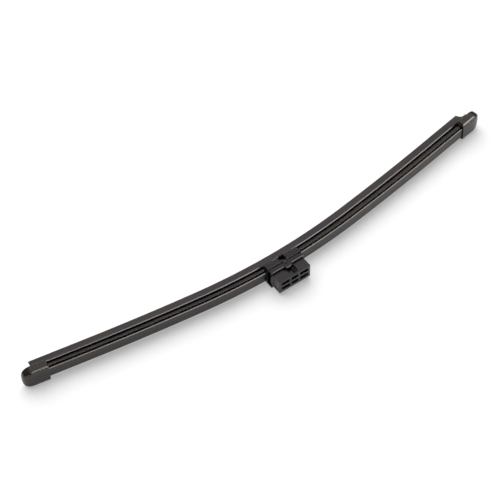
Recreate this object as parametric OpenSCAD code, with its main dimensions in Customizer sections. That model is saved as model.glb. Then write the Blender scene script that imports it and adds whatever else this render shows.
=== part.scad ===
/* [Bow] */
// Length of the rubber along the bow
rubber_len = 332; // [270:2:400]
// How far the rubber sits to the right of the middle
rubber_shift = 1.3; // [0:0.1:3]
// Radius of the middle arc, on the line of the rails
mid_arc_r = 440; // [370:10:700]
// Turn of the bow from its middle to the end of that arc
mid_arc_turn = 7.3; // [5:0.1:9]
// Radius of the arcs on both sides of it
side_arc_r = 1690; // [1300:10:2600]
// Turn along each of these arcs, before the straight ends
side_arc_turn = 2.5; // [1.5:0.1:3.5]

/* [Rubber] */
// Thickness of the wiping lip at its edge
lip_edge_t = 0.7; // [0.5:0.1:1.2]
// Thickness of the lip where it meets the shoulder
lip_root_t = 1.3; // [1:0.1:2]
// Height of the lip
lip_h = 3.9; // [3:0.1:5]
// Width across the shoulder
shoulder_w = 6.4; // [5:0.1:7.5]
// Height of the flare from the lip to the shoulder
flare_h = 1.3; // [0.8:0.1:2]
// Height of the shoulder's edge
shoulder_h = 1.3; // [0.6:0.1:1.6]
// Thickness of the hinge web behind the shoulder
web_t = 1.2; // [0.8:0.1:1.6]
// Height of the hinge web
web_h = 2.4; // [1.8:0.1:3]
// Width of the foot below the rails
foot_w = 5.4; // [4.6:0.1:6]
// Height of the foot below the rails
foot_h = 0.6; // [0.5:0.1:1]
// Thickness of the spine between the rails
spine_t = 2; // [1.6:0.1:2.4]
// Width of the head above the rails
head_w = 4.2; // [3.4:0.1:4.6]
// Height of the head above the rails
head_h = 0.7; // [0.6:0.1:1]
// Radius of the scoop that ends the lip on the right
scoop_r = 5; // [4:0.5:8]
// How far the scoop's centre lies past the rubber's right end
scoop_out = 2; // [1:0.5:3]
// How far the scoop's centre lies below the edge of the lip
scoop_drop = 0.3; // [0:0.1:1]

/* [Rails] */
// Thickness of the spring steel
rail_t = 0.8; // [0.7:0.05:1.2]
// Width of each rail
rail_w = 2.9; // [2.6:0.1:3.6]
// How far the rails stop short of the end caps' outer ends
rail_end_gap = 4; // [3.5:0.5:6]

/* [Spoiler] */
// Width across the claws
claw_w = 9.2; // [8.6:0.1:11]
// Wall of the claws beside the rails, at its thinnest
claw_wall = 0.5; // [0.4:0.05:0.8]
// Thickness of the claw lips under the rails
claw_lip_t = 0.4; // [0.4:0.05:0.7]
// Thickness of the wall over the rails
claw_roof_t = 0.6; // [0.4:0.05:0.8]
// Bevel along the outside of the claws
claw_bevel = 0.6; // [0.4:0.05:1]
// Thickness of the neck's wall on each side of the rubber's head
neck_wall = 0.6; // [0.5:0.05:0.9]
// Height of the open groove between the claws and the fin
groove_h = 0.85; // [0.7:0.05:1.5]
// Width of the fin
fin_w = 7.8; // [7.2:0.1:9]
// Height of the fin at its edges
fin_edge_h = 0.2; // [0.2:0.05:0.6]
// Rise of the fin's crown
fin_crown = 0.45; // [0.3:0.05:0.9]

/* [End caps] */
// Width of the caps and of the connector base: the blade lies on their sides
rest_w = 14; // [13.4:0.1:17]
// Length of each cap
cap_len = 16.7; // [14:0.1:22]
// How far the caps reach past the rubber's right end
cap_past_rubber = 5.5; // [4.8:0.1:8]
// Wall on both sides, at its thinnest
cap_side_wall = 1.2; // [0.8:0.1:1.6]
// Wall over the fin
cap_roof_t = 0.65; // [0.5:0.05:1.2]
// Wall under the rails
cap_floor_t = 1.1; // [0.5:0.1:1.4]
// Wall at the closed end
cap_end_t = 3; // [2.8:0.1:3.5]
// Radius of the outer corners, where the sides meet the closed end
cap_corner_r = 5.8; // [1:0.1:6]
// Radius of the outer edge, where the floor meets the closed end
cap_heel_r = 1.7; // [1:0.1:1.7]
// Radius of the outer edge, where the roof meets the closed end
cap_nose_r = 4; // [1:0.1:4]
// Radius of the long edges of the roof
cap_edge_r = 1.2; // [0.5:0.1:1.4]
// Bevel along the edges of the floor
cap_bevel = 0.5; // [0.3:0.1:0.8]

/* [Connector base] */
// Length of the base
base_len = 24.4; // [22:0.2:30]
// Thickness of the claw lips under the rails
base_lip_t = 1.2; // [0.6:0.1:1.5]
// Thickness of the floor over the rubber
base_floor_t = 1; // [0.8:0.1:1.6]
// Height of the cheeks over the floor
cheek_h = 4.35; // [3.6:0.05:5]
// Thickness of the cheeks
cheek_t = 1.55; // [1.2:0.05:2.4]
// Width of the open notch between the claws
claw_notch_w = 4.6; // [3:0.1:6]
// Height of the long slots over the floor
slot_rise = 0.45; // [0.2:0.05:1.4]
// Height of the long slots
slot_h = 1.1; // [0.8:0.1:1.6]
// Depth of the long slots
slot_depth = 0.9; // [0.5:0.1:1.1]
// Wall between the pin and each slot
slot_pin_wall = 0.6; // [0.4:0.1:2]
// Wall between each slot and the end of the base
slot_end_wall = 0.8; // [0.6:0.1:2]
// Wall round the pin, in the boss that stands proud of the cheek
boss_wall = 2.8; // [1.6:0.1:3]

/* [Adaptor and pin] */
// Length of the adaptor
box_len = 23; // [20:0.2:28]
// Height of the adaptor over the cheeks
box_rise = 7.4; // [6:0.1:11]
// Radius of the pivot pin
pin_r = 1.1; // [1:0.05:1.5]
// Height of the pin's axis over the base's floor
pin_h = 2.3; // [2:0.1:3]
// Tilt of the adaptor each way
rock_deg = 10; // [6:1:12]
// Extra fall of the adaptor's underside, past that tilt
rock_spare_deg = 1; // [0.5:0.5:3]
// Wall round the cells in the front face
cell_rim = 1.7; // [1:0.1:2]
// Ribs between the cells
cell_rib = 1.5; // [1:0.1:2]
// Length of the middle cells
mid_cell_len = 4.8; // [3:0.1:6]
// Depth of the cells
cell_depth = 5; // [3:0.1:5.5]
// Width of the relief in which the latch's ridge lies
latch_w = 5.4; // [4:0.1:7]
// How far the middle of the relief lies to the right of the pin
latch_shift = 0.5; // [0:0.1:3]
// Depth of the relief
latch_depth = 1.2; // [0.5:0.1:1.2]
// Radius of the relief's corners
latch_corner_r = 1.6; // [0.5:0.1:2]
// Wall between the relief and the front face
latch_front_wall = 1.1; // [0.5:0.1:2]
// Radius of the latch's ridge
latch_ridge_r = 0.9; // [0.6:0.1:1.2]
// Length of the latch's ridge
latch_ridge_len = 3.6; // [2:0.1:4]
// How far the ridge lies to the right of the middle of the relief
latch_ridge_shift = 0.9; // [0:0.1:1.2]
// Depth of the panel in each end of the adaptor
panel_depth = 0.35; // [0.2:0.05:0.8]
// Frame round that panel
panel_rim = 1.3; // [0.8:0.1:2]

/* [Clearances] */
// Between the rubber and the rails, and between the claws and the rails
rail_gap = 0.1; // [0.05:0.05:0.2]
// Between the rubber's head and what holds it
head_gap = 0.15; // [0.1:0.05:0.3]
// Between the caps or the base and the spoiler
shell_gap = 0.15; // [0.1:0.05:0.3]
// Between the adaptor and the cheeks, on each side
rock_gap = 0.3; // [0.2:0.05:0.5]
// Between the pin and the adaptor's bore, on the radius
pin_gap = 0.05; // [0.02:0.01:0.1]

/* [Hidden] */
$fn = 64;
arc_fn = 360;
corner_steps = 5;
crown_steps = 5;
// Flats along each half of the middle arc and along each arc beside it, and the shortest that a flat may be
mid_steps = 6;
side_steps = 4;
min_flat = 0.5;
cut = 1;

// Heights, measured from the edge of the lip
flare_top = lip_h + flare_h;
shoulder_top = flare_top + shoulder_h;
foot_bottom = shoulder_top + web_h;
foot_top = foot_bottom + foot_h;
rail_bottom = foot_top + rail_gap;
rail_top = rail_bottom + rail_t;
rail_line = (rail_bottom + rail_top) / 2;
head_bottom = rail_top + rail_gap;
head_top = head_bottom + head_h;
claw_tip = foot_top - claw_lip_t;
claw_roof = head_bottom + claw_roof_t;
fin_bottom = claw_roof + groove_h;
fin_top = fin_bottom + fin_edge_h + fin_crown;
cap_roof_in = fin_top + shell_gap;
cap_roof_out = cap_roof_in + cap_roof_t;
cap_floor_in = foot_bottom - head_gap;
cap_floor_out = cap_floor_in - cap_floor_t;
base_bottom = foot_top - base_lip_t;
floor_bottom = head_top + head_gap;
floor_top = floor_bottom + base_floor_t;
cheek_top = floor_top + cheek_h;
pin_line = floor_top + pin_h;
slot_bottom = floor_top + slot_rise;
box_bottom = floor_top + rock_gap;
box_front = cheek_top + box_rise;
cell_bottom = box_front - cell_depth;

// Widths, measured from the middle plane
rail_in = spine_t / 2 + rail_gap;
rail_out = rail_in + rail_w;
slot_out = rail_out + rail_gap;
claw_out = max(claw_w / 2, slot_out + claw_wall);
head_out = head_w / 2 + head_gap;
neck_out = head_out + neck_wall;
foot_out = foot_w / 2 + head_gap;
web_out = web_t / 2 + head_gap;
cap_in = claw_out + shell_gap;
rest_out = max(rest_w / 2, cap_in + cap_side_wall);
cheek_in = rest_out - cheek_t;
box_out = cheek_in - rock_gap;

// Lengths, measured from the middle along the bow
rubber_left = rubber_shift - rubber_len / 2;
rubber_right = rubber_shift + rubber_len / 2;
scoop_centre = rubber_right + scoop_out;
lip_right = scoop_centre - sqrt(scoop_r * scoop_r - scoop_drop * scoop_drop);
cap_end = rubber_right + cap_past_rubber;
rail_end = cap_end - rail_end_gap;
spoiler_start = base_len / 2 + shell_gap;
spoiler_end = cap_end - cap_end_t - rail_end_gap;

// The bow: a middle arc, an arc on each side of it, and straight ends
mid_half = mid_arc_r * mid_arc_turn * PI / 180;
side_end = mid_half + side_arc_r * side_arc_turn * PI / 180;
end_turn = mid_arc_turn + side_arc_turn;
function turn(len, r) = len / r * 180 / PI;
function arc_end(r, angle) = [r * sin(angle), r * (1 - cos(angle))];
function turned(p, angle) = [p[0] * cos(angle) - p[1] * sin(angle), p[0] * sin(angle) + p[1] * cos(angle)];
mid_point = arc_end(mid_arc_r, mid_arc_turn);
side_point = mid_point + turned(arc_end(side_arc_r, side_arc_turn), mid_arc_turn);

// How far the right half has turned at a place along it, and where that place is
function half_turn(along) =
    along < mid_half ? turn(along, mid_arc_r)
    : along < side_end ? mid_arc_turn + turn(along - mid_half, side_arc_r)
    : end_turn;
function half_point(along) =
    along < mid_half ? arc_end(mid_arc_r, half_turn(along))
    : along < side_end
        ? mid_point + turned(arc_end(side_arc_r, half_turn(along) - mid_arc_turn), mid_arc_turn)
    : side_point + turned([along - side_end, 0], end_turn);

// The same on both halves, and a point of a section that stands across the bow there
function bow_turn(along) = sign(along) * half_turn(abs(along));
function bow_point(along) = [sign(along) * half_point(abs(along))[0], half_point(abs(along))[1]];
function section_point(along, p) =
    let (middle = bow_point(along), angle = bow_turn(along), out = rail_line - p[0])
    [middle[0] - out * sin(angle), middle[1] + out * cos(angle), p[1]];
function to_y(height) = rail_line - height;

// The frame: the floor is at z = 0, and the origin is under the middle of the whole outline
bow_back = section_point(max(-rubber_left, lip_right), [0, 0])[1];
bow_front = to_y(box_front);

module place() {
    translate([0, -(bow_back + bow_front) / 2, rest_out])
        children();
}

// Points of an arc in an outline
function arc_points(centre, r, from, to, steps = corner_steps) =
    let (step = (to - from) / steps)
    [for (i = [0 : steps]) centre + r * [cos(from + step * i), sin(from + step * i)]];

// Both halves of an outline that is the same on both sides of the middle plane
function both_sides(points) =
    concat(points, [for (i = [len(points) - 1 : -1 : 0]) [points[i][0], -points[i][1]]]);

// Triangles that fill an outline, found by cutting off one corner at a time
function area2(a, b, c) = (b[0] - a[0]) * (c[1] - a[1]) - (b[1] - a[1]) * (c[0] - a[0]);
function holds(a, b, c, p) = area2(a, b, p) <= 0 && area2(b, c, p) <= 0 && area2(c, a, p) <= 0;
function corner(left, i) = [left[(i + len(left) - 1) % len(left)], left[i], left[(i + 1) % len(left)]];
function is_ear(points, t, left) =
    let (a = points[t[0]], b = points[t[1]], c = points[t[2]])
    area2(a, b, c) < 0
    && len([for (j = left) if (len(search(j, t)) == 0 && holds(a, b, c, points[j])) j]) == 0;
function ears(points, left) =
    len(left) < 3 ? []
    : let (i = [for (k = [0 : len(left) - 1]) if (is_ear(points, corner(left, k), left)) k][0])
      concat([corner(left, i)], ears(points, [for (k = [0 : len(left) - 1]) if (k != i) left[k]]));

// Places along the bow where a swept piece has a ring
half_places = concat(
    [for (i = [1 : mid_steps]) mid_half * i / mid_steps],
    [for (i = [1 : side_steps]) mid_half + (side_end - mid_half) * i / side_steps]
);
places = concat([for (i = [len(half_places) - 1 : -1 : 0]) -half_places[i]], [0], half_places);
function rings(from, to) =
    concat([from], [for (place = places) if (place > from + min_flat && place < to - min_flat) place], [to]);

// Sweeps an outline along the bow, from one place to another
module bow_sweep(outline, from, to) {
    along = rings(from, to);
    n = len(outline);
    last = (len(along) - 1) * n;
    end_faces = ears(outline, [for (i = [0 : n - 1]) i]);
    sides = [
        for (k = [0 : n : last - n])
            for (i = [0 : n - 1])
                let (j = (i + 1) % n)
                [k + j, k + i, k + n + i, k + n + j]
    ];
    polyhedron(
        points = [for (place = along) for (p = outline) section_point(place, p)],
        faces = concat(end_faces, sides, [for (t = end_faces) [last + t[2], last + t[1], last + t[0]]])
    );
}

// Turns a shape from a section's axes to the frame's: X is away from the lip, Y up and Z back to the middle
module at_place(along) {
    translate([bow_point(along)[0], bow_point(along)[1], 0])
        rotate([0, 0, bow_turn(along)])
            rotate([90, 0, -90])
                translate([-rail_line, 0, 0])
                    children();
}

// Sweeps an outline round the middle arc, as far on both sides of the middle
module mid_arc_sweep(reach) {
    translate([0, mid_arc_r, 0])
        rotate([0, 0, -90 - turn(reach, mid_arc_r)])
            rotate_extrude(angle = 2 * turn(reach, mid_arc_r), $fn = arc_fn)
                translate([mid_arc_r - rail_line, 0])
                    children();
}

// Section of the rubber: lip, shoulder, hinge web, foot, spine and head
rubber_outline = both_sides([
    [0, lip_edge_t / 2],
    [lip_h, lip_root_t / 2],
    [flare_top, shoulder_w / 2],
    [shoulder_top, shoulder_w / 2],
    [shoulder_top, web_t / 2],
    [foot_bottom, web_t / 2],
    [foot_bottom, foot_w / 2],
    [foot_top, foot_w / 2],
    [foot_top, spine_t / 2],
    [head_bottom, spine_t / 2],
    [head_bottom, head_w / 2],
    [head_top, head_w / 2]
]);

module wiper_rubber() {
    color([0.13, 0.13, 0.13])
        place()
            difference() {
                bow_sweep(rubber_outline, rubber_left, rubber_right);
                at_place(scoop_centre)
                    translate([-scoop_drop, 0, 0])
                        rotate([90, 0, 0])
                            cylinder(r = scoop_r, h = shoulder_w + 2 * cut, center = true);
            }
}

module rail(from, to) {
    outline = [[rail_bottom, from], [rail_bottom, to], [rail_top, to], [rail_top, from]];
    color([0.1, 0.1, 0.11])
        place()
            bow_sweep(outline, -rail_end, rail_end);
}

module spring_rail_upper() {
    rail(rail_in, rail_out);
}

module spring_rail_lower() {
    rail(-rail_out, -rail_in);
}

// Section of the spoiler: its channel is open towards the lip and holds the rails and the rubber's head
crown_r = (fin_w * fin_w / 4 + fin_crown * fin_crown) / (2 * fin_crown);
crown_half = asin(fin_w / 2 / crown_r);
spoiler_outline = both_sides(concat(
    [
        [head_top + head_gap, head_out],
        [head_bottom, head_out],
        [head_bottom, slot_out],
        [foot_top, slot_out],
        [foot_top, foot_out],
        [claw_tip, foot_out],
        [claw_tip, claw_out - claw_bevel],
        [claw_tip + claw_bevel, claw_out],
        [claw_roof - claw_bevel / 4, claw_out],
        [claw_roof, claw_out - claw_bevel / 4],
        [claw_roof, neck_out],
        [fin_bottom, neck_out],
        [fin_bottom, fin_w / 2]
    ],
    arc_points([fin_top - crown_r, 0], crown_r, crown_half, crown_half / crown_steps, (crown_steps - 1) / 2)
));

module spoiler() {
    color([0.16, 0.16, 0.16])
        place()
            bow_sweep(spoiler_outline, spoiler_start, spoiler_end);
}

module spoiler_right() {
    spoiler();
}

module spoiler_left() {
    mirror([1, 0, 0]) spoiler();
}

// Section of the cap's outside
module cap_outside() {
    polygon(both_sides(concat(
        [[cap_floor_out, rest_out - cap_bevel]],
        [[cap_floor_out + cap_bevel, rest_out]],
        arc_points([cap_roof_out - cap_edge_r, rest_out - cap_edge_r], cap_edge_r, 90, 0)
    )));
}

// Section of the cap's cavity, and of the slot through its floor for the rubber's web
module cap_cavity() {
    translate([cap_floor_in, -cap_in])
        square([cap_roof_in - cap_floor_in, 2 * cap_in]);
    translate([cap_floor_out - cut, -web_out])
        square([cap_floor_t + 2 * cut, 2 * web_out]);
}

// Outline of the cap seen from its roof, with its outer corners rounded
module cap_face() {
    polygon(both_sides(concat(
        arc_points([-cap_corner_r, rest_out - cap_corner_r], cap_corner_r, 0, 90),
        [[-cap_len - cut, rest_out]]
    )));
}

// Outline of the cap seen from its side, with its outer edges rounded
module cap_profile() {
    polygon(concat(
        arc_points([cap_floor_out + cap_heel_r, cap_heel_r], cap_heel_r, 180, 270),
        arc_points([cap_roof_out - cap_nose_r, cap_nose_r], cap_nose_r, 270, 360),
        [[cap_roof_out, cap_len + cut], [cap_floor_out, cap_len + cut]]
    ));
}

module end_cap() {
    color([0.2, 0.2, 0.2])
        place()
            intersection() {
                difference() {
                    at_place(cap_end)
                        linear_extrude(cap_len)
                            cap_outside();
                    at_place(cap_end - cap_end_t)
                        linear_extrude(cap_len)
                            cap_cavity();
                }
                at_place(cap_end)
                    translate([cap_floor_out - cut, 0, 0])
                        rotate([0, 90, 0])
                            linear_extrude(cap_roof_out - cap_floor_out + 2 * cut)
                                cap_face();
                at_place(cap_end)
                    rotate([90, 0, 0])
                        linear_extrude(2 * rest_out + 2 * cut, center = true)
                            cap_profile();
            }
}

module end_cap_right() {
    end_cap();
}

module end_cap_left() {
    mirror([1, 0, 0]) end_cap();
}

// A block between two places along X, two heights over the lip and two levels
module block(x, height, z) {
    translate([x[0], to_y(height[1]), z[0]])
        cube([x[1] - x[0], height[1] - height[0], z[1] - z[0]]);
}

// A range of levels on one side of the middle plane
function levels(side, from, to) = side > 0 ? [from, to] : [-to, -from];

// One cheek's slots: long grooves on both sides of the pin
module cheek_slots(side) {
    inner = pin_r + slot_pin_wall;
    outer = base_len / 2 - slot_end_wall;
    for (end = [-1, 1])
        block(levels(end, inner, outer), [slot_bottom, slot_bottom + slot_h],
              levels(side, rest_out - slot_depth, rest_out + cut));
}

module connector_base() {
    half = base_len / 2;
    boss_r = pin_r + boss_wall;
    color([0.22, 0.22, 0.22])
        place()
            difference() {
                union() {
                    block([-half, half], [base_bottom, cheek_top], [-rest_out, rest_out]);
                    translate([0, to_y(pin_line), -rest_out])
                        cylinder(r = boss_r, h = 2 * rest_out);
                }
                block([-half - cut, half + cut], [floor_top, pin_line + boss_r + cut], [-cheek_in, cheek_in]);
                mid_arc_sweep(base_len) {
                    translate([foot_top, -slot_out])
                        square([head_bottom - foot_top, 2 * slot_out]);
                    translate([base_bottom - cut, -foot_out])
                        square([floor_bottom - base_bottom + cut, 2 * foot_out]);
                }
                for (side = [-1, 1]) {
                    block([-claw_notch_w / 2, claw_notch_w / 2], [base_bottom - cut, floor_top],
                          levels(side, slot_out - cut, rest_out + cut));
                    cheek_slots(side);
                }
                translate([0, to_y(pin_line), -rest_out - cut])
                    cylinder(r = pin_r, h = 2 * rest_out + 2 * cut);
            }
}

module pivot_pin() {
    color([0.55, 0.55, 0.56])
        place()
            translate([0, to_y(pin_line), -rest_out])
                cylinder(r = pin_r, h = 2 * rest_out);
}

// Side view of the adaptor: its underside falls away both ways from the pin
module adaptor_outline() {
    drop = box_len / 2 * tan(rock_deg + rock_spare_deg);
    polygon([
        [-box_len / 2, to_y(box_front)],
        [box_len / 2, to_y(box_front)],
        [box_len / 2, to_y(box_bottom + drop)],
        [pin_r, to_y(box_bottom)],
        [-pin_r, to_y(box_bottom)],
        [-box_len / 2, to_y(box_bottom + drop)]
    ]);
}

// The six cells in the front face: a row of three over another
module cells() {
    side_cell_len = (box_len - mid_cell_len) / 2 - cell_rim - cell_rib;
    side_cell_in = mid_cell_len / 2 + cell_rib;
    for (row = [-1, 1]) {
        z = levels(row, cell_rib / 2, box_out - cell_rim);
        block([-mid_cell_len / 2, mid_cell_len / 2], [cell_bottom, box_front + cut], z);
        for (end = [-1, 1])
            block(levels(end, side_cell_in, side_cell_in + side_cell_len), [cell_bottom, box_front + cut], z);
    }
}

// The relief in the upper face, less the latch's round ridge in the middle of it
module latch_relief() {
    relief_front = box_front - latch_front_wall;
    corner_in = latch_w / 2 - latch_corner_r;
    z = [box_out - latch_depth, box_out + cut];
    difference() {
        union() {
            block([latch_shift - latch_w / 2, latch_shift + latch_w / 2],
                  [cheek_top - cut, relief_front - latch_corner_r], z);
            block([latch_shift - corner_in, latch_shift + corner_in], [cheek_top - cut, relief_front], z);
            for (x = [latch_shift - corner_in, latch_shift + corner_in])
                translate([x, to_y(relief_front - latch_corner_r), z[0]])
                    cylinder(r = latch_corner_r, h = z[1] - z[0]);
        }
        translate([latch_shift + latch_ridge_shift, to_y(relief_front), box_out - latch_depth])
            rotate([-90, 0, 0])
                cylinder(r = latch_ridge_r, h = latch_ridge_len);
    }
}

// The shallow panel in one end of the adaptor
module end_panel(end) {
    block(levels(end, box_len / 2 - panel_depth, box_len / 2 + cut),
          [cheek_top + panel_rim, box_front - panel_rim], [panel_rim - box_out, box_out - panel_rim]);
}

module pivot_adaptor() {
    color([0.25, 0.25, 0.25])
        place()
            difference() {
                translate([0, 0, -box_out])
                    linear_extrude(2 * box_out)
                        adaptor_outline();
                translate([0, to_y(pin_line), -box_out - cut])
                    cylinder(r = pin_r + pin_gap, h = 2 * box_out + 2 * cut);
                cells();
                latch_relief();
                end_panel(-1);
                end_panel(1);
            }
}

wiper_rubber();
spring_rail_upper();
spring_rail_lower();
spoiler_left();
spoiler_right();
end_cap_left();
end_cap_right();
connector_base();
pivot_pin();
pivot_adaptor();
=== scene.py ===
import math

import bpy
from mathutils import Matrix, Vector


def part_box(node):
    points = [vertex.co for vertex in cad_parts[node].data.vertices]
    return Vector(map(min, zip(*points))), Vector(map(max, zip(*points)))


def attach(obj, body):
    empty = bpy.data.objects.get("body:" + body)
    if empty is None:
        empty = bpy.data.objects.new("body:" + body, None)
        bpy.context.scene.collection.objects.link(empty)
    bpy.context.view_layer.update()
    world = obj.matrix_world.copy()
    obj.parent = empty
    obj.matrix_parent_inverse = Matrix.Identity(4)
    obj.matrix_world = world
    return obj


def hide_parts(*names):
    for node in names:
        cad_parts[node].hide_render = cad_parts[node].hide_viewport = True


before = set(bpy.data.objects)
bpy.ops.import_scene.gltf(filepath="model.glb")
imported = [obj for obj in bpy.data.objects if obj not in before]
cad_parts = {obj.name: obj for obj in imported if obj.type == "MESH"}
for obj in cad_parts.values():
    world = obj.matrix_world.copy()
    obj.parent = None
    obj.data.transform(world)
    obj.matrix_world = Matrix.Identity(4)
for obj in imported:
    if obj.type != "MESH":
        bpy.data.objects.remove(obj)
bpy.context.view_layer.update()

# The wiper rubber is one extrusion of black rubber along the whole blade: the wiping lip, a flared
# shoulder, a thin hinge web, and the foot and head that the rails and the spoilers grip. Its right
# end is scooped out by a round cutter.
mm = 0.001
pin_line = 14.65 * mm
rail_line = 10 * mm
pin_low, pin_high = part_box("pivot_pin")
pin_centre = (pin_low + pin_high) / 2
bow_y = pin_centre.y + pin_line - rail_line
mid_arc_r = 440 * mm
mid_arc_turn = math.radians(7.3)
side_arc_r = 1690 * mm
side_arc_turn = math.radians(2.5)
mid_half = mid_arc_r * mid_arc_turn
side_end = mid_half + side_arc_r * side_arc_turn
straight_end = 200 * mm
spin_step = math.radians(0.35)


def bow_place(along):
    """Where a place along the rails is, and how far the bow has turned there."""
    x, y, turn = 0.0, bow_y, 0.0
    rest = abs(along)
    for length, radius in ((mid_half, mid_arc_r), (side_end - mid_half, side_arc_r)):
        step = min(rest, length)
        after = turn + step / radius
        x += radius * (math.sin(after) - math.sin(turn))
        y += radius * (math.cos(turn) - math.cos(after))
        turn = after
        rest -= step
    x += rest * math.cos(turn)
    y += rest * math.sin(turn)
    return Vector((math.copysign(x, along), y, pin_centre.z)), math.copysign(turn, along)


def across(turn):
    """The way from the rails towards the lip."""
    return Vector((-math.sin(turn), math.cos(turn), 0))


def section_point(along, height, width):
    """A point of a section, from its height over the lip's edge and its width from the middle."""
    place, turn = bow_place(along)
    return place + across(turn) * (rail_line - height) + Vector((0, 0, width))


def unbend(point):
    """Where a point would be if the blade were straight: along it, over the lip's edge, and up."""
    side = math.copysign(1, point.x)
    for start, end, radius in ((0, mid_half, mid_arc_r), (mid_half, side_end, side_arc_r)):
        place, turn = bow_place(start)
        centre = place + across(turn) * radius
        arm = Vector((abs(point.x), point.y, pin_centre.z)) - centre
        along = start + (math.atan2(arm.x, -arm.y) - turn) * radius
        if along < end:
            return side * along, rail_line + arm.length - radius, point.z
    place, turn = bow_place(side_end)
    arm = Vector((abs(point.x), point.y, pin_centre.z)) - place
    along = side_end + arm.x * math.cos(turn) + arm.y * math.sin(turn)
    return side * along, rail_line - arm.dot(across(turn)), point.z


def rounded(corners, arc_steps=3):
    """An outline in metres, from corners in millimetres that each have a radius."""
    side_share = 0.75
    outline = []
    for i, (height, width, radius) in enumerate(corners):
        here = Vector((height, width))
        back = Vector(corners[i - 1][:2]) - here
        ahead = Vector(corners[(i + 1) % len(corners)][:2]) - here
        half = back.angle(ahead) / 2
        reach = min(radius / math.tan(half), side_share * back.length, side_share * ahead.length)
        inward = (back.normalized() + ahead.normalized()).normalized()
        centre = here + inward * reach / math.cos(half)
        start = here + back.normalized() * reach - centre
        end = here + ahead.normalized() * reach - centre
        for step in range(arc_steps + 1):
            arm = start.lerp(end, step / arc_steps).normalized() * start.length
            outline.append((centre + arm) * mm)
    return outline


def both_sides(corners):
    """Both halves of an outline that is the same on both sides of the middle."""
    return corners + [(height, -width, radius) for height, width, radius in reversed(corners)]


def only(piece):
    """Selects one piece and nothing else."""
    bpy.ops.object.select_all(action="DESELECT")
    piece.select_set(True)
    bpy.context.view_layer.objects.active = piece


def sweep(name, outline, start, end):
    """Draws an outline across the bow, and spins and extrudes it along the bow."""
    bpy.ops.object.select_all(action="DESELECT")
    bpy.ops.mesh.primitive_circle_add(vertices=len(outline), radius=mm)
    strip = bpy.context.object
    strip.name = name
    for vertex, (height, width) in zip(strip.data.vertices, outline):
        vertex.co = section_point(start, height, width)
    bpy.ops.object.mode_set(mode="EDIT")
    bpy.ops.mesh.select_all(action="SELECT")
    for span_start, span_end, radius in (
        (-straight_end, -side_end, None),
        (-side_end, -mid_half, side_arc_r),
        (-mid_half, mid_half, mid_arc_r),
        (mid_half, side_end, side_arc_r),
        (side_end, straight_end, None),
    ):
        first, last = max(start, span_start), min(end, span_end)
        if last <= first:
            continue
        if radius:
            place, turn = bow_place((first + last) / 2)
            bpy.ops.mesh.spin(
                steps=math.ceil((last - first) / radius / spin_step),
                angle=-(last - first) / radius,
                center=place + across(turn) * radius,
                axis=(0, 0, 1),
            )
        else:
            ahead = bow_place(last)[0] - bow_place(first)[0]
            bpy.ops.mesh.extrude_region_move(TRANSFORM_OT_translate={"value": ahead})
    bpy.ops.mesh.select_all(action="SELECT")
    bpy.ops.mesh.remove_doubles(threshold=0.001 * mm)
    bpy.ops.mesh.select_all(action="DESELECT")
    bpy.ops.mesh.select_non_manifold()
    bpy.ops.mesh.fill_holes(sides=0)
    bpy.ops.mesh.select_all(action="SELECT")
    bpy.ops.mesh.normals_make_consistent(inside=False)
    bpy.ops.object.mode_set(mode="OBJECT")
    return strip


def carve(piece, tool, operation="DIFFERENCE"):
    """Cuts a tool out of a piece, or keeps only what both share, and throws the tool away."""
    only(piece)
    boolean = piece.modifiers.new("carve", "BOOLEAN")
    boolean.operation = operation
    boolean.solver = "EXACT"
    boolean.object = tool
    bpy.ops.object.modifier_apply(modifier=boolean.name)
    bpy.data.objects.remove(tool)


def smooth(piece, angle=35):
    """Shades a piece smooth but for its sharp edges."""
    only(piece)
    bpy.ops.object.shade_smooth_by_angle(angle=math.radians(angle))


def note_run(piece):
    """Keeps each point's place on the straightened blade, for patterns that follow the bow."""
    run = piece.data.attributes.new("run", "FLOAT_VECTOR", "POINT")
    for vertex, value in zip(piece.data.vertices, run.data):
        value.vector = unbend(vertex.co)


class Shade:
    """A number or a colour in a material's nodes. Python's operators on numbers add Math nodes."""

    def __init__(self, tree, socket=None):
        self.tree = tree
        self.socket = socket

    def node(self, kind, inputs, output=0, **settings):
        """Adds a node with these settings and inputs, and gives one of its outputs."""
        made = self.tree.nodes.new("ShaderNode" + kind)
        for name, value in settings.items():
            setattr(made, name, value)
        for name, value in inputs.items():
            self.feed(made.inputs[name], value)
        return Shade(self.tree, made.outputs[output])

    def feed(self, socket, value):
        """Links or sets an input."""
        if isinstance(value, Shade):
            self.tree.links.new(value.socket, socket)
        else:
            socket.default_value = value

    def math(self, operation, *values):
        """Adds a Math node."""
        return self.node("Math", dict(enumerate(values)), operation=operation)

    def __add__(self, other):
        return self.math("ADD", self, other)

    def __radd__(self, other):
        return self.math("ADD", other, self)

    def __mul__(self, other):
        return self.math("MULTIPLY", self, other)

    def __rmul__(self, other):
        return self.math("MULTIPLY", other, self)

    def stretched(self, factors):
        """Coordinates stretched along each axis."""
        return self.node("VectorMath", {0: self, 1: factors}, operation="MULTIPLY")

    def noise(self, scale, detail=2.0, roughness=0.5):
        """Soft noise on these coordinates, from 0 to 1."""
        return self.node(
            "TexNoise", {"Vector": self, "Scale": scale, "Detail": detail, "Roughness": roughness}
        )

    def span(self, low, high):
        """This number's range carried over to 0 to 1."""
        return self.node("MapRange", {"Value": self, "From Min": low, "From Max": high})

    def blend(self, first, second):
        """Two colours mixed by this number."""
        return self.node("Mix", {0: self, 6: first, 7: second}, output=2, data_type="RGBA")


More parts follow.
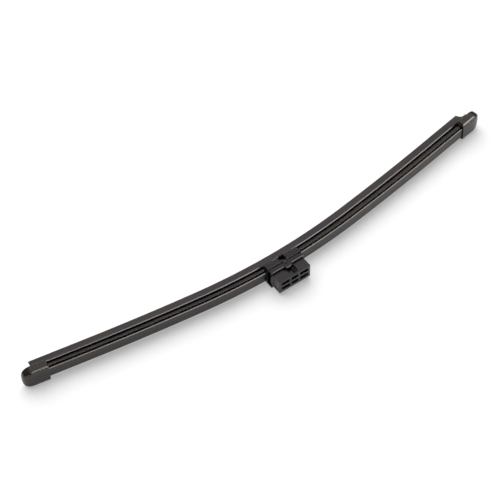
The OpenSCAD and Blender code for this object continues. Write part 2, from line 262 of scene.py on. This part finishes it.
def new_material(name, attribute=None, **constants):
    """A material with its main shader, and the coordinates that its patterns use."""
    material = bpy.data.materials.new(name)
    material.use_nodes = True
    shader = material.node_tree.nodes["Principled BSDF"]
    for socket, value in constants.items():
        shader.inputs[socket.replace("_", " ")].default_value = value
    start = Shade(material.node_tree)
    if attribute:
        where = start.node("Attribute", {}, output="Vector", attribute_name=attribute)
    else:
        where = start.node("TexCoord", {}, output="Object")
    return material, shader, where


def dress(piece, material):
    """Gives a piece one material."""
    piece.data.materials.clear()
    piece.data.materials.append(material)


# Each corner of an outline is its height over the lip's edge, its width from the middle, and its
# radius, in millimetres.
rubber_outline = rounded(
    both_sides(
        [
            (0, 0.35, 0.08),  # the wiping lip
            (3.9, 0.65, 0.9),
            (5.2, 3.2, 0.22),  # the shoulder, with a cut edge that catches the light
            (5.95, 3.2, 0.2),
            (6.5, 2.76, 0.2),
            (6.5, 0.6, 0.2),  # the web
            (8.9, 0.6, 0.2),
            (8.9, 2.7, 0.15),  # the foot under the rails
            (9.5, 2.7, 0.15),
            (9.5, 1, 0.05),  # the spine between the rails
            (10.5, 1, 0.05),
            (10.5, 2.1, 0.1),  # the head over them
            (11.2, 2.1, 0.1),
        ]
    )
)
rubber_left = -164.7 * mm
rubber_right = 167.3 * mm
rubber = sweep("rubber_strip", rubber_outline, rubber_left, rubber_right)

scoop_r = 5 * mm
scoop_len = 8 * mm
scoop_past_end = 2 * mm
scoop_past_lip = 0.3 * mm
bpy.ops.mesh.primitive_cylinder_add(
    vertices=96,
    radius=scoop_r,
    depth=scoop_len,
    location=section_point(rubber_right + scoop_past_end, -scoop_past_lip, 0),
)
carve(rubber, bpy.context.object)
smooth(rubber)
note_run(rubber)

rubber_look, shader, run = new_material(
    "black_rubber", attribute="run", Specular_Tint=(1, 0.94, 0.97, 1)
)
streaks = run.stretched((0.02, 1, 1)).noise(2600, detail=3)
bloom = run.stretched((0.35, 1, 1)).noise(90, detail=3, roughness=0.6)
specks = run.noise(5200)
colour = bloom.span(0.35, 0.65).blend((0.022, 0.016, 0.025, 1), (0.032, 0.028, 0.022, 1))
run.feed(shader.inputs["Base Color"], colour)
run.feed(shader.inputs["Roughness"], 0.22 + 0.12 * bloom + 0.06 * streaks)
relief = streaks.node(
    "Bump", {"Height": streaks * 0.7 + specks * 0.3, "Strength": 0.35, "Distance": 0.05 * mm}
)
run.feed(shader.inputs["Normal"], relief)
dress(rubber, rubber_look)
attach(rubber, "blade")
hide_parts("wiper_rubber")

# Two strips of spring steel, coated black, lie in the rubber's side slots and give the blade its
# bow. They show only at the connector's notches and in the caps' mouths.
steel_look, shader, where = new_material("coated_spring_steel", Coat_Weight=0.3)
wear = where.stretched((0.05, 1, 1)).noise(1800, detail=4, roughness=0.6)
colour = wear.span(0.45, 0.75).blend((0.01, 0.01, 0.011, 1), (0.025, 0.025, 0.026, 1))
where.feed(shader.inputs["Base Color"], colour)
where.feed(shader.inputs["Roughness"], 0.32 + 0.2 * wear)
where.feed(
    shader.inputs["Normal"],
    wear.node("Bump", {"Height": wear, "Strength": 0.3, "Distance": 0.03 * mm}),
)
for side in ("upper", "lower"):
    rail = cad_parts["spring_rail_" + side]
    dress(rail, steel_look)
    smooth(rail, 20)

# The spoiler is a hard plastic extrusion in two lengths. Its claws close round the rails, and its
# crowned fin stands on a narrow neck over them. Both lengths start at the connector and end inside
# the caps.
base_len = 24.4 * mm
shell_gap = 0.15 * mm
spoiler_start = base_len / 2 + shell_gap
spoiler_end = 165.8 * mm
fin_half = 3.9
fin_top = 12.6
crown_r = 90
crown = [(fin_top - crown_r + math.sqrt(crown_r**2 - w**2), w, 0.02) for w in (2.8, 2.1, 1.4, 0.7)]
spoiler_outline = rounded(
    both_sides(
        [
            (11.35, 2.25, 0.05),  # the channel for the rubber's head
            (10.5, 2.25, 0.05),
            (10.5, 4.1, 0.05),  # the channel for a rail
            (9.5, 4.1, 0.05),
            (9.5, 2.85, 0.05),
            (9.1, 2.85, 0.1),  # the claw's lip
            (9.1, 4, 0.15),
            (9.6, 4.35, 0.15),
            (10.2, 4.6, 0.15),  # the claw's outside
            (10.95, 4.6, 0.12),
            (10.95, 2.85, 0.12),  # the neck, at the bottom of the groove
            (12.1, 2.85, 0.12),
            (12.1, fin_half, 0.03),  # the fin, with a cut edge
            (12.14, fin_half, 0.03),
            (12.55, 3.56, 0.2),
        ]
        + crown
    )
)


def black_moulding(name, dark, light, gloss, grain, depth, attribute=None, **constants):
    """Black plastic with a fine spark grain, soft patches of tone, and a slight orange peel."""
    material, shader, where = new_material(name, attribute=attribute, **constants)
    patches = where.noise(120, detail=3, roughness=0.55)
    peel = where.noise(650)
    sparks = where.noise(grain, detail=3, roughness=0.6)
    colour = patches.span(0.35, 0.68).blend((*dark, 1), (*light, 1))
    where.feed(shader.inputs["Base Color"], colour)
    where.feed(shader.inputs["Roughness"], gloss + 0.1 * patches + 0.05 * sparks)
    height = sparks * 0.6 + peel * 0.4
    relief = where.node("Bump", {"Height": height, "Strength": 0.3, "Distance": depth})
    where.feed(shader.inputs["Normal"], relief)
    return material


spoiler_look = black_moulding(
    "spoiler_plastic",
    dark=(0.01, 0.009, 0.0115),
    light=(0.03, 0.023, 0.015),
    gloss=0.17,
    grain=5200,
    depth=0.02 * mm,
    attribute="run",
    Specular_Tint=(1, 0.95, 0.92, 1),
)
for side, start, end in (
    ("left", -spoiler_end, -spoiler_start),
    ("right", spoiler_start, spoiler_end),
):
    spoiler = sweep("spoiler_" + side + "_length", spoiler_outline, start, end)
    smooth(spoiler)
    note_run(spoiler)
    dress(spoiler, spoiler_look)
    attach(spoiler, "blade")
    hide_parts("spoiler_" + side)

# The connector base is moulded in one piece: claws that close round the rails, a floor over the
# rubber's head, and two cheeks with long slots that hold the pivot pin in a round boss.


def finer(node, name):
    """A copy of a piece of the frame, with its loose triangles joined into whole faces."""
    piece = bpy.data.objects.new(name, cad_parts[node].data.copy())
    bpy.context.scene.collection.objects.link(piece)
    only(piece)
    bpy.ops.object.mode_set(mode="EDIT")
    bpy.ops.mesh.select_all(action="SELECT")
    bpy.ops.mesh.remove_doubles(threshold=0.035 * mm)
    bpy.ops.mesh.dissolve_limited(angle_limit=math.radians(1.5))
    bpy.ops.object.mode_set(mode="OBJECT")
    return piece


def round_edges(piece, width, segments, angle=35):
    """Cuts or rounds the sharp edges of a piece, and keeps its faces shaded flat up to them."""
    only(piece)
    bevel = piece.modifiers.new("round", "BEVEL")
    bevel.width = width
    bevel.segments = segments
    bevel.limit_method = "ANGLE"
    bevel.angle_limit = math.radians(angle)
    bevel.use_clamp_overlap = False
    bpy.ops.object.modifier_apply(modifier=bevel.name)
    smooth(piece)
    even = piece.modifiers.new("even", "WEIGHTED_NORMAL")
    even.keep_sharp = True
    bpy.ops.object.modifier_apply(modifier=even.name)


def prism(name, outline, depth, matrix):
    """An outline drawn on X and Y, extruded along Z, and then put in its place."""
    bpy.ops.object.select_all(action="DESELECT")
    bpy.ops.mesh.primitive_circle_add(vertices=len(outline), radius=mm, fill_type="NGON")
    block = bpy.context.object
    block.name = name
    for vertex, (x, y) in zip(block.data.vertices, outline):
        vertex.co = (x, y, -depth / 2)
    bpy.ops.object.mode_set(mode="EDIT")
    bpy.ops.mesh.select_all(action="SELECT")
    bpy.ops.mesh.extrude_region_move(TRANSFORM_OT_translate={"value": (0, 0, depth)})
    bpy.ops.mesh.select_all(action="SELECT")
    bpy.ops.mesh.normals_make_consistent(inside=False)
    bpy.ops.object.mode_set(mode="OBJECT")
    block.data.transform(matrix)
    return block


base = finer("connector_base", "connector_clamp")
quarter = math.pi / 2
along_x = Matrix.Rotation(quarter, 4, "Z") @ Matrix.Rotation(quarter, 4, "X")
claw_tip_h = 8.3
claw_back = (pin_centre.y + pin_line) / mm - claw_tip_h
claw_turn_in = 1.1
claw_drop = 0.75
overcut = 0.3
chamfer_x = -7.3 * mm
chamfer_len = 10.5 * mm
rest_half = 7
for side in (-1, 1):
    face = pin_centre.z / mm + side * rest_half
    inner_y = claw_back - (1 + overcut) * claw_turn_in
    outer_y = claw_back + overcut * claw_turn_in
    deep_z = face - side * (1 + overcut) * claw_drop
    clear_z = face + side * overcut * claw_drop
    chamfer = [(inner_y, clear_z), (outer_y, deep_z), (outer_y, clear_z)]
    chamfer = [(y * mm, z * mm) for y, z in chamfer]
    place = Matrix.Translation((chamfer_x, 0, 0)) @ along_x
    carve(base, prism("chamfer", chamfer, chamfer_len, place))
round_edges(base, 0.26 * mm, 1)
base_look = black_moulding(
    "base_plastic",
    dark=(0.006, 0.0055, 0.0085),
    light=(0.012, 0.0095, 0.0105),
    gloss=0.2,
    grain=6000,
    depth=0.02 * mm,
    Specular_IOR_Level=0.4,
    Specular_Tint=(0.98, 0.93, 1, 1),
)
dress(base, base_look)
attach(base, "blade")
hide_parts("connector_base")

# The pivot pin is a blackened steel pin, turned and cut to length. It is pressed across both
# cheeks, flush with their outsides, and the adaptor rocks on it.
pin_look, shader, where = new_material("pin_steel", Metallic=1.0)
from_middle = where.node("VectorMath", {0: where, 1: tuple(pin_centre)}, operation="SUBTRACT")
turned = from_middle.noise(4000)
colour = turned.blend((0.035, 0.035, 0.037, 1), (0.06, 0.06, 0.062, 1))
where.feed(shader.inputs["Base Color"], colour)
where.feed(shader.inputs["Roughness"], 0.3 + 0.15 * turned)
dress(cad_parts["pivot_pin"], pin_look)
smooth(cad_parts["pivot_pin"])

# The pivot adaptor is a moulded clip for the arm, which rocks on the pin between the cheeks. Six
# cells lighten its front, a relief with a round ridge marks the latch, and its ends are panelled.
adaptor = finer("pivot_adaptor", "arm_adaptor")
round_edges(adaptor, 0.24 * mm, 1)
adaptor_look = black_moulding(
    "adaptor_plastic",
    dark=(0.006, 0.0055, 0.0075),
    light=(0.013, 0.0095, 0.008),
    gloss=0.2,
    grain=5000,
    depth=0.025 * mm,
    Specular_Tint=(1, 0.94, 0.97, 1),
)
dress(adaptor, adaptor_look)
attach(adaptor, "adaptor")
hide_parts("pivot_adaptor")

# The end caps are moulded hollow shells pushed over the ends. The roof is slightly crowned, a bead
# runs along each of its edges, and the outer end is a full round nose. A slot clears the web.
cap_end = 172.6 * mm
cap_len = 16.5
cap_floor = 7.65
cap_roof = 13.4
cap_crown = 0.45
cap_edge_r = 0.6
facet_down = 1
facet_in = 0.8
facet_lift = 0.03


def at_cap(along):
    """The place of the right cap: X out along the blade, Y towards the lip and Z up."""
    place, turn = bow_place(along)
    return Matrix.Translation(place) @ Matrix.Rotation(turn, 4, "Z")


rail_h = rail_line / mm
floor_y = rail_h - cap_floor
roof_y = rail_h - cap_roof
roof_edge_y = roof_y + cap_crown
roof_bend_y = roof_y + cap_crown * 0.35
roof_bend_half = rest_half * 0.6
end_view = rounded(
    [
        (floor_y, rest_half, cap_edge_r),
        (floor_y, -rest_half, cap_edge_r),
        (roof_edge_y + facet_down, -rest_half, cap_edge_r),
        (roof_edge_y - facet_lift, -rest_half + facet_in, 0.4),
        (roof_bend_y, -roof_bend_half, 9),
        (roof_y, 0, 14),
        (roof_bend_y, roof_bend_half, 9),
        (roof_edge_y - facet_lift, rest_half - facet_in, 0.4),
        (roof_edge_y + facet_down, rest_half, cap_edge_r),
    ],
    arc_steps=6,
)
along_blade = at_cap(cap_end) @ along_x
nose_len = 7.5
nose_power = 2.8
nose_steps = 16
nose_turn = 88
nose_h = 9.7
bpy.ops.object.select_all(action="DESELECT")
bpy.ops.mesh.primitive_circle_add(vertices=len(end_view), radius=mm, fill_type="NGON")
cap = bpy.context.object
for vertex, (y, z) in zip(cap.data.vertices, end_view):
    vertex.co = along_blade @ Vector((y, z, -cap_len * mm))
bpy.ops.object.mode_set(mode="EDIT")
bpy.ops.mesh.select_all(action="SELECT")
ahead = along_blade.to_3x3() @ Vector((0, 0, mm))
bpy.ops.mesh.extrude_region_move(TRANSFORM_OT_translate={"value": ahead * (cap_len - nose_len)})
run_before, size_before = 0, 1
for step in range(1, nose_steps + 1):
    turn = math.radians(nose_turn * step / nose_steps)
    run_now = math.sin(turn) ** (2 / nose_power)
    size_now = math.cos(turn) ** (2 / nose_power)
    move = ahead * nose_len * (run_now - run_before)
    bpy.ops.mesh.extrude_region_move(TRANSFORM_OT_translate={"value": move})
    pivot = Vector(((rail_h - nose_h) * mm, 0, nose_len * (run_now - 1) * mm))
    bpy.ops.transform.resize(
        value=[size_now / size_before] * 3,
        center_override=along_blade @ pivot,
    )
    run_before, size_before = run_now, size_now
bpy.ops.mesh.select_all(action="SELECT")
bpy.ops.mesh.normals_make_consistent(inside=False)
bpy.ops.object.mode_set(mode="OBJECT")

mouth_r = 1.7
mouth_half = rest_half + 0.01
blank_half = 9
blank_end = 5
tool_len = 40
mouth_view = rounded(
    [
        (blank_end, blank_half, 1),
        (blank_end, -blank_half, 1),
        (-cap_len, -mouth_half, mouth_r),
        (-cap_len, mouth_half, mouth_r),
    ],
    arc_steps=8,
)
on_roof = at_cap(cap_end) @ Matrix.Rotation(quarter, 4, "X")
carve(cap, prism("mouth", mouth_view, tool_len * mm, on_roof), "INTERSECT")

bead_w = 1.45
bead_end = -4.6
groove_half = 0.2
groove_start = -cap_len - 2
groove_floor_h = 12.45
groove_tool = 10
for side in (-1, 1):
    middle = side * (rest_half - bead_w)
    groove = rounded(
        [
            (bead_end, middle - groove_half, 0.15),
            (bead_end, middle + groove_half, 0.15),
            (groove_start, middle + groove_half, 0.1),
            (groove_start, middle - groove_half, 0.1),
        ]
    )
    lift = Matrix.Translation((0, 0, (groove_floor_h - rail_h + groove_tool / 2) * mm))
    carve(cap, prism("groove", groove, groove_tool * mm, on_roof @ lift))

cavity_half = 4.75
cavity_floor_y = rail_h - 8.75
cavity_roof_y = rail_h - 12.75
slot_half = 0.75
slot_end_y = rail_h - 5
end_wall = 3
cavity = both_sides(
    [
        (cavity_floor_y, cavity_half, 0.3),
        (cavity_floor_y, slot_half, 0.1),
        (slot_end_y, slot_half, 0.1),
    ]
)
cavity += [(cavity_roof_y, -cavity_half, 0.3), (cavity_roof_y, cavity_half, 0.3)]
place = along_blade @ Matrix.Translation((0, 0, -(tool_len / 2 + end_wall) * mm))
carve(cap, prism("cavity", rounded(cavity), tool_len * mm, place))

cap_look = black_moulding(
    "cap_plastic",
    dark=(0.014, 0.0115, 0.0115),
    light=(0.025, 0.0195, 0.016),
    gloss=0.15,
    grain=5600,
    depth=0.015 * mm,
    Specular_Tint=(1, 0.94, 0.88, 1),
)
left_cap = bpy.data.objects.new("left_cap", cap.data.copy())
bpy.context.scene.collection.objects.link(left_cap)
left_cap.data.transform(Matrix.Scale(-1, 4, (1, 0, 0)))
left_cap.data.flip_normals()
cap.name = "right_cap"
for piece, side in ((left_cap, "left"), (cap, "right")):
    round_edges(piece, 0.22 * mm, 3, angle=30)
    dress(piece, cap_look)
    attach(piece, "blade")
    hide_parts("end_cap_" + side)

# A plain pale table. It is white to the camera and in reflections, and it keeps the blade's
# shadow.
bpy.ops.object.select_all(action="DESELECT")
bpy.ops.mesh.primitive_plane_add(size=6)
table = bpy.context.object
table.name = "table"
table_look, shader, where = new_material(
    "table_white",
    Base_Color=(0.74, 0.74, 0.74, 1),
    Roughness=0.9,
    Specular_IOR_Level=0.0,
    Emission_Color=(1, 1, 1, 1),
)
seen = where.node("LightPath", {}, output="Is Camera Ray")
mirrored = where.node("LightPath", {}, output="Is Glossy Ray")
where.feed(shader.inputs["Emission Strength"], (mirrored + seen) * 0.36)
dress(table, table_look)

# Soft studio light in a dim pale room: a wide soft box gives the light and the shadow, a card in
# front shows only in reflections, and a diffuser above and behind on the right lifts the tops.
world = bpy.data.worlds.new("room")
bpy.context.scene.world = world
world.use_nodes = True
room_light = world.node_tree.nodes["Background"]
room_light.inputs["Color"].default_value = (1, 1, 1, 1)
room_light.inputs["Strength"].default_value = 0.08
bpy.ops.object.light_add(type="SUN", location=(0.04, 0.52, 0.85))
soft_box = bpy.context.object
soft_box.name = "soft_box"
soft_box.data.angle = math.radians(75)
soft_box.data.energy = 2.7
soft_box.visible_glossy = False
soft_box.rotation_euler = soft_box.location.to_track_quat("Z", "Y").to_euler()
for name, place, width, height, energy in (
    ("card", (0.374, -0.882, 0.671), 1.8, 0.75, 38),
    ("diffuser", (0.54, 0.75, 1.18), 1.2, 1.2, 4.4),
):
    bpy.ops.object.light_add(type="AREA", location=place)
    lamp = bpy.context.object
    lamp.name = name
    lamp.data.shape = "RECTANGLE"
    lamp.data.size = width
    lamp.data.size_y = height
    lamp.data.energy = energy
    lamp.data.color = (1, 0.985, 0.96)
    lamp.visible_diffuse = name != "card"
    lamp.rotation_euler = lamp.location.to_track_quat("Z", "Y").to_euler()

# The camera looks down on the blade from the front left, from where the photograph was taken.
bpy.ops.object.camera_add(
    location=(-443.18 * mm, -617.34 * mm, 976.19 * mm),
    rotation=(math.radians(38.2736), math.radians(1.0101), math.radians(-35.9002)),
)
camera = bpy.context.object
camera.data.lens = 146.166
camera.data.sensor_width = 36
camera.data.clip_start = 0.05
camera.data.clip_end = 20
bpy.context.scene.camera = camera
bpy.context.scene.view_settings.view_transform = "Standard"
